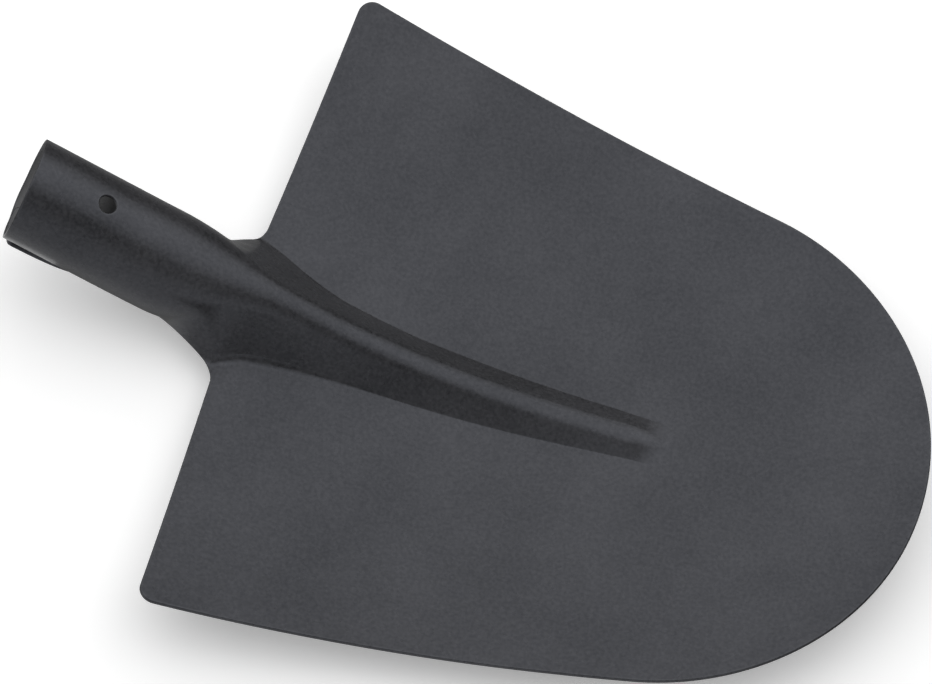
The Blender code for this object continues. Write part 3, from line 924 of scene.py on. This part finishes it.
def make_floor():
    """Flat floor under the head, which lights nothing and shows in no reflection."""
    half = FLOOR_SIZE / 2
    mesh = bpy.data.meshes.new("floor")
    corners = [(-half, -half, 0.0), (half, -half, 0.0), (half, half, 0.0), (-half, half, 0.0)]
    mesh.from_pydata(corners, [], [(0, 1, 2, 3)])
    mesh.materials.append(floor_material())
    floor = bpy.data.objects.new("floor", mesh)
    bpy.context.collection.objects.link(floor)
    floor.visible_diffuse = False
    floor.visible_glossy = False


def make_camera(shift):
    """Camera at the photograph's angle: above the blade, turned to its right side and rolled."""
    view = Vector((
        math.sin(CAMERA_PITCH),
        -math.sin(CAMERA_YAW) * math.cos(CAMERA_PITCH),
        math.cos(CAMERA_YAW) * math.cos(CAMERA_PITCH),
    ))
    level = (Vector((1.0, 0.0, 0.0)) - view.x * view).normalized()
    raised = view.cross(level)
    right = level * math.cos(CAMERA_ROLL) + raised * math.sin(CAMERA_ROLL)
    up = view.cross(right)
    data = bpy.data.cameras.new("camera")
    data.lens = CAMERA_LENS
    data.sensor_width = CAMERA_SENSOR
    data.clip_start = CAMERA_NEAR
    data.clip_end = CAMERA_FAR
    camera = bpy.data.objects.new("camera", data)
    bpy.context.collection.objects.link(camera)
    place = CAMERA_AIM + Vector(shift) + view * CAMERA_DISTANCE
    camera.matrix_world = Matrix.Translation(place) @ Matrix((right, up, view)).transposed().to_4x4()
    bpy.context.scene.camera = camera


def make_panel(name, wide, deep, radiance, place):
    """Even rectangle of light, unseen by the camera."""
    data = bpy.data.lights.new(name, "AREA")
    data.shape = "RECTANGLE"
    data.size = wide
    data.size_y = deep
    data.energy = radiance * math.pi * wide * deep
    panel = bpy.data.objects.new(name, data)
    bpy.context.collection.objects.link(panel)
    panel.matrix_world = place
    panel.visible_camera = False


def make_softbox(name, share, nearness, radiance):
    """Panel above and beyond the blade, facing it. share is how much of the full view it fills."""
    size = share * nearness
    turn = Matrix.Rotation(KEY_TURN, 4, "Y") @ Matrix.Rotation(-KEY_TILT, 4, "X")
    place = turn @ Matrix.Translation((0.0, 0.0, KEY_DISTANCE * nearness))
    make_panel(name, KEY_WIDE * size, KEY_DEEP * size, radiance, place)


def make_lights():
    """One big softbox with a brighter middle, a small card at the mouth, and dim panels all round."""
    make_softbox("key", 1.0, 1.0, KEY_RADIANCE)
    make_softbox("key_core", CORE_SHARE, CORE_NEARNESS, CORE_RADIANCE)
    place = Matrix.Translation(CARD_PLACE) @ Matrix.Rotation(math.pi, 4, "X")
    make_panel("card", CARD_LONG, CARD_WIDE, CARD_RADIANCE, place)
    make_surround()


def make_surround():
    """The soft panels all round, each a smooth lobe of light from its own direction."""
    world = bpy.data.worlds.new("studio")
    bpy.context.scene.world = world
    world.use_nodes = True
    tree = world.node_tree
    back = tree.nodes["Background"]
    back.inputs["Color"].default_value = (1.0, 1.0, 1.0, 1.0)
    where = tree.nodes.new("ShaderNodeTexCoord")
    total = None
    for turn, height, radiance in PANELS.values():
        facing_it = tree.nodes.new("ShaderNodeVectorMath")
        facing_it.operation = "DOT_PRODUCT"
        level = math.cos(height)
        toward = (level * math.cos(turn), level * math.sin(turn), math.sin(height))
        facing_it.inputs[1].default_value = toward
        link(tree, where, "Generated", facing_it, 0)
        lobe = calculated(tree, "POWER", calculated(tree, "MAXIMUM", facing_it, 0.0), PANEL_FALL)
        part = calculated(tree, "MULTIPLY", lobe, radiance)
        total = combined(tree, "ADD", total, "Value", part, "Value") if total else part
    link(tree, total, "Value", back, "Strength")


def main():
    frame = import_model()
    low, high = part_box("blade")
    slope = math.atan((BLADE_LENGTH - BELLY_X) / BELLY_RADIUS_ALONG)
    nose = BLADE_LENGTH + SHEET / 2 * math.sin(slope)
    shift = (high[0] - nose, 0.0, low[2] - belly_level())
    paint = powder_coat("charcoal_powder_coat", PAINT_ROUGHNESS)
    coated = powder_coat("rivet_powder_coat", PAINT_ROUGHNESS - RIVET_SMOOTHER)
    sheet = make_sheet(paint, shift)
    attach(sheet, "root")
    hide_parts("blade")
    for node, from_mouth in RIVET_STATIONS.items():
        rivet = make_rivet("set_" + node, from_mouth, coated, shift)
        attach(rivet, "root")
        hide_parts(node)
    make_floor()
    make_lights()
    make_camera(shift)
    bpy.context.scene.view_settings.view_transform = "Standard"
    print("nodes", len(frame["nodes"]), "sheet faces", len(sheet.data.polygons))


main()
